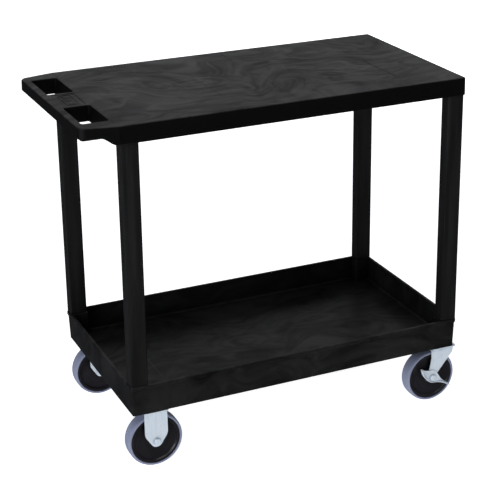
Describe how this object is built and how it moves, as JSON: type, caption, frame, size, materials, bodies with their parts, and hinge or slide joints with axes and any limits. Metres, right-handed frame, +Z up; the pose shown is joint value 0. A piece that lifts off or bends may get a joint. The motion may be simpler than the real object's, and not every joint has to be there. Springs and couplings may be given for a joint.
{
  "type": "rolling utility cart",
  "caption": "Two-level moulded plastic utility cart with a flat top shelf and push handle, a deep lower tub, rigid casters at the handle end and braked swivel casters at the nose.",
  "frame": {"origin": "on the floor, under the middle of the cart's bounding box", "axes": "+Z up, +X from the push handle towards the nose end, +Y to the left of someone who pushes the cart"},
  "size_m": [0.9058, 0.4572, 0.8015],
  "materials": {
    "deck_plastic": "charcoal structural foam with faint flow swirls",
    "leg_plastic": "fine matte texture",
    "tyre": "blue-grey non-marking rubber",
    "wheel_core": "satin moulded core",
    "zinc_plate": "bright zinc plating",
    "bush_steel": "plain turned steel"
  },
  "bodies": {
    "frame": {"top_shelf": "deck_plastic", "lower_tub": "deck_plastic", "leg_handle_right": "leg_plastic", "leg_nose_right": "leg_plastic", "leg_handle_left": "leg_plastic", "leg_nose_left": "leg_plastic", "rigid_right_fork": "zinc_plate", "rigid_right_axle_bush": "bush_steel", "rigid_right_axle_bolt": "zinc_plate", "rigid_right_axle_nut": "zinc_plate", "rigid_right_plate_screw_1": "zinc_plate", "rigid_right_plate_screw_2": "zinc_plate", "rigid_right_plate_screw_3": "zinc_plate", "rigid_right_plate_screw_4": "zinc_plate", "swivel_right_plate": "zinc_plate", "swivel_right_ball_race": "zinc_plate", "swivel_right_kingpin": "zinc_plate", "swivel_right_plate_screw_1": "zinc_plate", "swivel_right_plate_screw_2": "zinc_plate", "swivel_right_plate_screw_3": "zinc_plate", "swivel_right_plate_screw_4": "zinc_plate", "rigid_left_fork": "zinc_plate", "rigid_left_axle_bush": "bush_steel", "rigid_left_axle_bolt": "zinc_plate", "rigid_left_axle_nut": "zinc_plate", "rigid_left_plate_screw_1": "zinc_plate", "rigid_left_plate_screw_2": "zinc_plate", "rigid_left_plate_screw_3": "zinc_plate", "rigid_left_plate_screw_4": "zinc_plate", "swivel_left_plate": "zinc_plate", "swivel_left_ball_race": "zinc_plate", "swivel_left_kingpin": "zinc_plate", "swivel_left_plate_screw_1": "zinc_plate", "swivel_left_plate_screw_2": "zinc_plate", "swivel_left_plate_screw_3": "zinc_plate", "swivel_left_plate_screw_4": "zinc_plate"},
    "rigid_right_wheel": {"rigid_right_wheel_core": "wheel_core", "rigid_right_tyre": "tyre"},
    "swivel_right_yoke": {"swivel_right_fork": "zinc_plate", "swivel_right_axle_bush": "bush_steel", "swivel_right_axle_bolt": "zinc_plate", "swivel_right_axle_nut": "zinc_plate"},
    "swivel_right_wheel": {"swivel_right_wheel_core": "wheel_core", "swivel_right_tyre": "tyre"},
    "swivel_right_brake": {"swivel_right_brake_lever": "zinc_plate"},
    "rigid_left_wheel": {"rigid_left_wheel_core": "wheel_core", "rigid_left_tyre": "tyre"},
    "swivel_left_yoke": {"swivel_left_fork": "zinc_plate", "swivel_left_axle_bush": "bush_steel", "swivel_left_axle_bolt": "zinc_plate", "swivel_left_axle_nut": "zinc_plate"},
    "swivel_left_wheel": {"swivel_left_wheel_core": "wheel_core", "swivel_left_tyre": "tyre"},
    "swivel_left_brake": {"swivel_left_brake_lever": "zinc_plate"}
  },
  "joints": [
    {"name": "rigid_right_roll", "type": "hinge", "parent": "frame", "child": "rigid_right_wheel", "pos_m": [-0.31145, -0.188, 0.0635], "axis": [0, 1, 0], "continuous": true},
    {"name": "swivel_right_turn", "type": "hinge", "parent": "frame", "child": "swivel_right_yoke", "pos_m": [0.41635, -0.188, 0.0635], "axis": [0, 0, 1], "continuous": true},
    {"name": "swivel_right_roll", "type": "hinge", "parent": "swivel_right_yoke", "child": "swivel_right_wheel", "pos_m": [0.38935, -0.188, 0.0635], "axis": [0, 1, 0], "continuous": true},
    {"name": "swivel_right_brake_press", "type": "hinge", "parent": "swivel_right_yoke", "child": "swivel_right_brake", "pos_m": [0.38935, -0.188, 0.0635], "axis": [0, 1, 0], "range_deg": [-20, 0]},
    {"name": "rigid_left_roll", "type": "hinge", "parent": "frame", "child": "rigid_left_wheel", "pos_m": [-0.31145, 0.188, 0.0635], "axis": [0, 1, 0], "continuous": true},
    {"name": "swivel_left_turn", "type": "hinge", "parent": "frame", "child": "swivel_left_yoke", "pos_m": [0.41635, 0.188, 0.0635], "axis": [0, 0, 1], "continuous": true},
    {"name": "swivel_left_roll", "type": "hinge", "parent": "swivel_left_yoke", "child": "swivel_left_wheel", "pos_m": [0.38935, 0.188, 0.0635], "axis": [0, 1, 0], "continuous": true},
    {"name": "swivel_left_brake_press", "type": "hinge", "parent": "swivel_left_yoke", "child": "swivel_left_brake", "pos_m": [0.38935, 0.188, 0.0635], "axis": [0, 1, 0], "range_deg": [-20, 0]}
  ]
}
